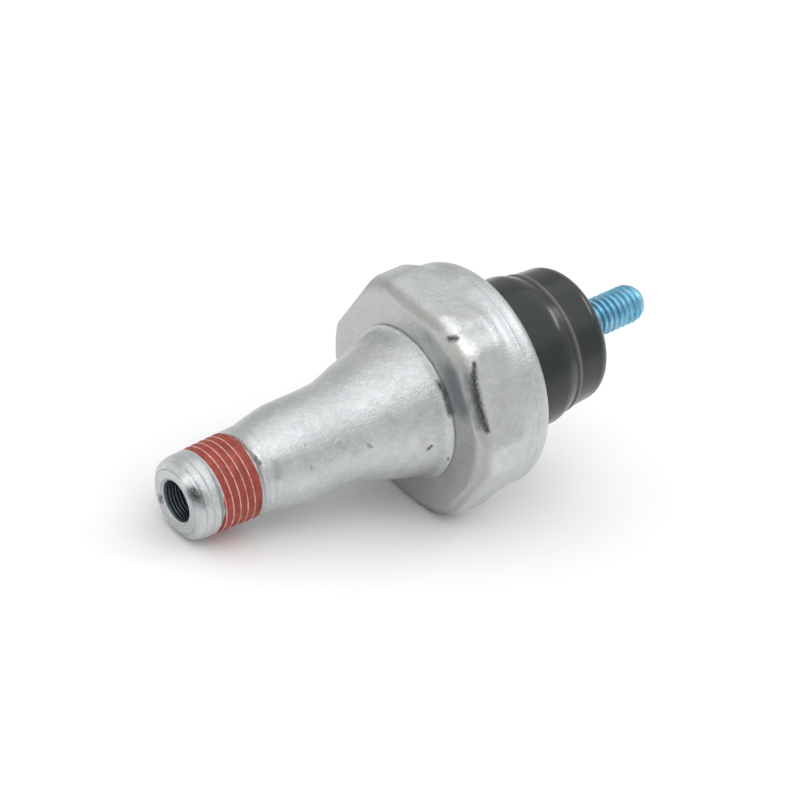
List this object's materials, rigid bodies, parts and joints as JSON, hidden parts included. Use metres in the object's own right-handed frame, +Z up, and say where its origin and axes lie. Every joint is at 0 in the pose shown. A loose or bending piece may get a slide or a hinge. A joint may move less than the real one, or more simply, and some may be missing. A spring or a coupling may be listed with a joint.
{
  "type": "oil pressure sender",
  "caption": "Oil pressure sender with a taper pipe-thread neck, a crimped hexagon shell, an insulated cap and one threaded terminal stud.",
  "frame": {"origin": "middle of the bottom of the bounding box, on the surface that the sender lies on", "axes": "+Z up, +X along the length towards the terminal stud; the sender's own axis rises 14.7 degrees from -X to +X in the XZ plane, because it lies on one hexagon flat and on the rim of its threaded tip"},
  "size_m": [0.0658, 0.0292, 0.028],
  "materials": {
    "zinc_plated_steel": "satin zinc plate, stained",
    "red_sealant": "dull dried sealant",
    "zinc_plated_shell": "satin zinc plate, stained",
    "black_rubber": "matt",
    "diaphragm_film": "smooth film",
    "clamp_ring_steel": "satin",
    "pressure_plate_steel": "satin",
    "natural_nylon": "smooth",
    "ground_brass": "rolled strip",
    "silvered_contact": "bright silvered",
    "spring_steel": "drawn wire",
    "seat_brass": "rolled strip",
    "black_plastic": "glossy moulding",
    "seal_rubber": "matt",
    "blue_zinc": "blue passivated zinc"
  },
  "bodies": {
    "housing": {"port_body": "zinc_plated_steel", "thread_sealant": "red_sealant", "hex_shell": "zinc_plated_shell", "shell_gasket": "black_rubber", "diaphragm": "diaphragm_film", "clamp_ring": "clamp_ring_steel", "ground_contact": "ground_brass", "contact_spring": "spring_steel", "spring_seat": "seat_brass", "insulator_cap": "black_plastic", "cap_seal": "seal_rubber", "terminal_stud": "blue_zinc"},
    "contact_group": {"pressure_plate": "pressure_plate_steel", "push_pin": "natural_nylon", "contact_disc": "silvered_contact"}
  },
  "joints": [
    {"name": "contact_slide", "type": "slide", "parent": "housing", "child": "contact_group", "axis": [0.9671, 0, 0.2542], "range_m": [0, 0.0008], "stiffness_N_per_m": 2000, "springref_m": -0.0025, "deforming": ["contact_spring", "diaphragm"]}
  ]
}
